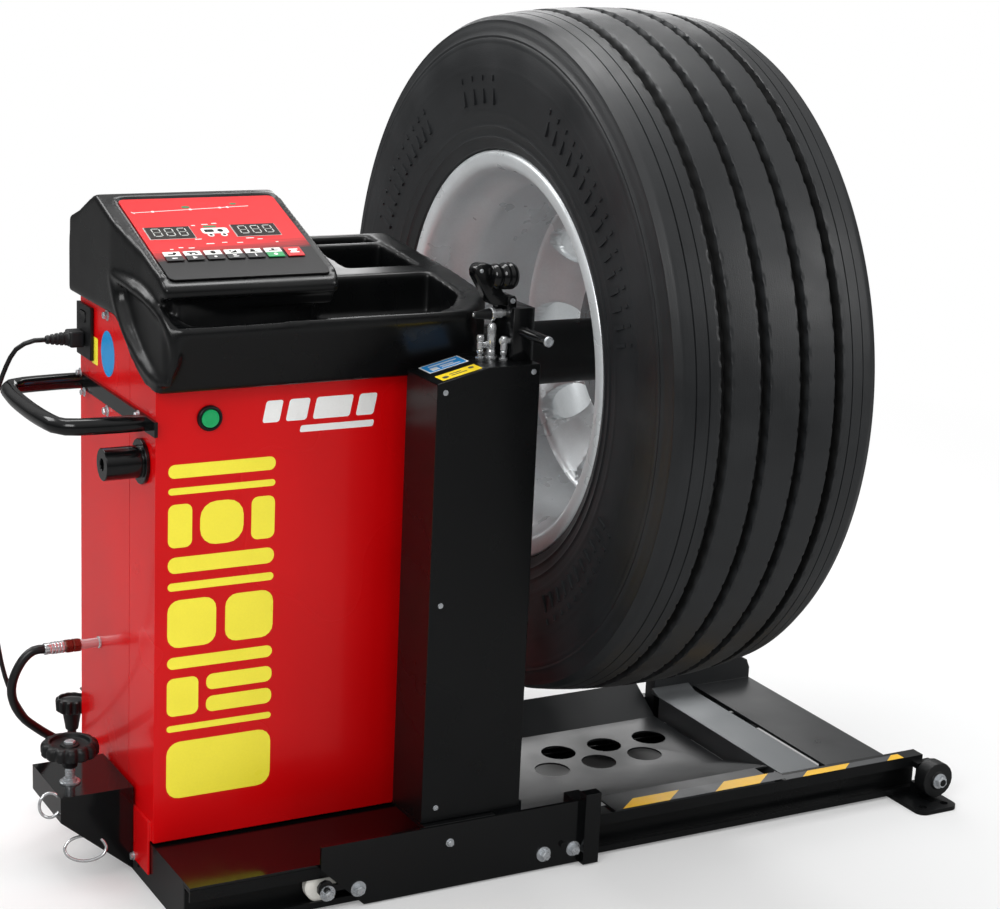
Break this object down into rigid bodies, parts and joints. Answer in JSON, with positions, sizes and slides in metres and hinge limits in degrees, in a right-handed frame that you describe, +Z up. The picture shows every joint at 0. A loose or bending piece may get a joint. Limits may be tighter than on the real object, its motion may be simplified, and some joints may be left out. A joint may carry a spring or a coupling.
{
  "type": "truck wheel balancer",
  "caption": "Floor-standing truck wheel balancer: red cabinet with sloping control console, mounted wheel on its shaft, and a sliding carriage with a lifting tray.",
  "frame": {"origin": "middle of the machine's footprint on the floor, measured without the mains lead", "axes": "+X right along the balancing shaft from the cabinet to the wheel, +Y to the back, +Z up"},
  "size_m": [1.4768, 1.0742, 1.2751],
  "materials": {
    "black_plastic": "black plastic",
    "black_rubber": "flexible black rubber",
    "board_green": "circuit board with parts",
    "bright_steel": "ground steel",
    "button_green": "gloss plastic",
    "cast_aluminium": "cast and machined",
    "chrome_parts": "plated",
    "display_dark": "tinted window",
    "gloss_black": "gloss black paint",
    "grey_paint": "grey paint",
    "key_green": "printed key",
    "key_red": "printed key",
    "key_white": "printed key",
    "moulded_black": "satin moulded plastic",
    "painted_black": "satin black paint",
    "panel_red": "printed film",
    "red_paint": "gloss red powder coat",
    "rim_silver": "silver paint",
    "tyre_rubber": "black tyre rubber",
    "white_nylon": "turned nylon",
    "zinc_steel": "bare steel sheet"
  },
  "bodies": {
    "frame": {"front_rail": "painted_black", "rear_rail": "painted_black", "base_frame": "gloss_black", "chassis": "grey_paint", "shaft_housing": "gloss_black", "bearing_inboard": "bright_steel", "bearing_outboard": "bright_steel", "drive_motor": "painted_black", "cabinet_front": "red_paint", "cabinet_rear": "red_paint", "power_board": "board_green", "start_bezel": "black_plastic", "console_shell": "moulded_black", "control_panel": "panel_red", "display_left": "display_dark", "display_right": "display_dark", "inlet_panel": "black_plastic", "lead_connector": "black_plastic", "mains_lead": "black_rubber", "mains_coil": "black_rubber", "mains_plug": "black_plastic", "grab_handle": "painted_black", "storage_peg": "black_plastic", "side_bracket": "painted_black", "air_coupling": "chrome_parts", "air_hose": "black_rubber"},
    "wheel_shaft": {"spindle": "bright_steel", "drive_drum": "grey_paint", "encoder_disc": "bright_steel", "centring_cone": "bright_steel", "clamping_cup": "cast_aluminium", "rim": "rim_silver", "tyre": "tyre_rubber"},
    "nut": {"quick_nut": "painted_black"},
    "friction_wheel": {"motor_wheel": "black_rubber"},
    "roller": {"end_roller": "black_plastic"},
    "start": {"start_button": "button_green"},
    "rocker": {"rocker_switch": "black_plastic"},
    "front_screw": {"front_clamp": "painted_black"},
    "rear_screw": {"rear_clamp": "black_plastic"},
    "carriage": {"carriage_plate": "painted_black", "column": "painted_black", "carriage_deck": "painted_black", "cross_beam": "zinc_steel", "lift_cylinder": "cast_aluminium", "valve_block": "cast_aluminium", "push_handle": "painted_black"},
    "roller_left": {"guide_roller_left": "white_nylon"},
    "roller_right": {"guide_roller_right": "white_nylon"},
    "lift": {"lift_tray": "painted_black", "lift_rod": "bright_steel"},
    "lever": {"lift_lever": "black_plastic"},
    "plunger": {"valve_plunger": "chrome_parts"},
    "key_1": {"key_1": "key_white"},
    "key_2": {"key_2": "key_white"},
    "key_3": {"key_3": "key_white"},
    "key_4": {"key_4": "key_white"},
    "key_5": {"key_5": "key_white"},
    "key_6": {"key_6": "key_green"},
    "key_7": {"key_7": "key_red"}
  },
  "joints": [
    {"name": "shaft_turn", "type": "hinge", "parent": "frame", "child": "wheel_shaft", "pos_m": [0.16244, 0, 0.738], "axis": [1, 0, 0], "continuous": true},
    {"name": "nut_slide", "type": "slide", "parent": "wheel_shaft", "child": "nut", "axis": [1, 0, 0], "range_m": [0, 0.02]},
    {"name": "motor_turn", "type": "hinge", "parent": "frame", "child": "friction_wheel", "pos_m": [-0.44956, 0, 0.6017], "axis": [1, 0, 0], "continuous": true},
    {"name": "end_roller_turn", "type": "hinge", "parent": "frame", "child": "roller", "pos_m": [0.70844, -0.32, 0.04], "axis": [0, 1, 0], "continuous": true},
    {"name": "start_press", "type": "slide", "parent": "frame", "child": "start", "axis": [0, 1, 0], "range_m": [0, 0.003], "stiffness_N_per_m": 500},
    {"name": "rocker_tilt", "type": "hinge", "parent": "frame", "child": "rocker", "pos_m": [-0.59786, 0.16, 0.804], "axis": [0, 1, 0], "range_deg": [-5, 5]},
    {"name": "front_clamp_turn", "type": "hinge", "parent": "frame", "child": "front_screw", "pos_m": [-0.67856, -0.013, 0.139], "axis": [0, 0, 1], "continuous": true},
    {"name": "rear_clamp_turn", "type": "hinge", "parent": "frame", "child": "rear_screw", "pos_m": [-0.59956, 0.224, 0.074], "axis": [0, 0, 1], "continuous": true},
    {"name": "carriage_slide", "type": "slide", "parent": "frame", "child": "carriage", "axis": [1, 0, 0], "range_m": [0, 0.05]},
    {"name": "roller_left_turn", "type": "hinge", "parent": "carriage", "child": "roller_left", "pos_m": [-0.38956, -0.278, 0.038], "axis": [0, 1, 0], "range_deg": [-5, 115]},
    {"name": "roller_right_turn", "type": "hinge", "parent": "carriage", "child": "roller_right", "pos_m": [0.00444, -0.278, 0.038], "axis": [0, 1, 0], "range_deg": [-5, 115]},
    {"name": "lift_slide", "type": "slide", "parent": "carriage", "child": "lift", "axis": [0, 0, 1], "range_m": [0, 0.15]},
    {"name": "lever_tilt", "type": "hinge", "parent": "carriage", "child": "lever", "pos_m": [-0.09356, -0.225, 0.876], "axis": [0, 1, 0], "range_deg": [0, 35]},
    {"name": "plunger_press", "type": "slide", "parent": "carriage", "child": "plunger", "axis": [1, 0, 0], "range_m": [0, 0.004], "stiffness_N_per_m": 600},
    {"name": "key_1_press", "type": "slide", "parent": "frame", "child": "key_1", "axis": [0, 0.3292, -0.9443], "range_m": [0, 0.0006], "stiffness_N_per_m": 400},
    {"name": "key_2_press", "type": "slide", "parent": "frame", "child": "key_2", "axis": [0, 0.3292, -0.9443], "range_m": [0, 0.0006], "stiffness_N_per_m": 400},
    {"name": "key_3_press", "type": "slide", "parent": "frame", "child": "key_3", "axis": [0, 0.3292, -0.9443], "range_m": [0, 0.0006], "stiffness_N_per_m": 400},
    {"name": "key_4_press", "type": "slide", "parent": "frame", "child": "key_4", "axis": [0, 0.3292, -0.9443], "range_m": [0, 0.0006], "stiffness_N_per_m": 400},
    {"name": "key_5_press", "type": "slide", "parent": "frame", "child": "key_5", "axis": [0, 0.3292, -0.9443], "range_m": [0, 0.0006], "stiffness_N_per_m": 400},
    {"name": "key_6_press", "type": "slide", "parent": "frame", "child": "key_6", "axis": [0, 0.3292, -0.9443], "range_m": [0, 0.0006], "stiffness_N_per_m": 400},
    {"name": "key_7_press", "type": "slide", "parent": "frame", "child": "key_7", "axis": [0, 0.3292, -0.9443], "range_m": [0, 0.0006], "stiffness_N_per_m": 400}
  ],
  "couplings": [
    {"joint": "motor_turn", "follows": "shaft_turn", "ratio": -3.3871},
    {"joint": "roller_left_turn", "follows": "carriage_slide", "rad_per_m": 38.46},
    {"joint": "roller_right_turn", "follows": "carriage_slide", "rad_per_m": 38.46}
  ]
}
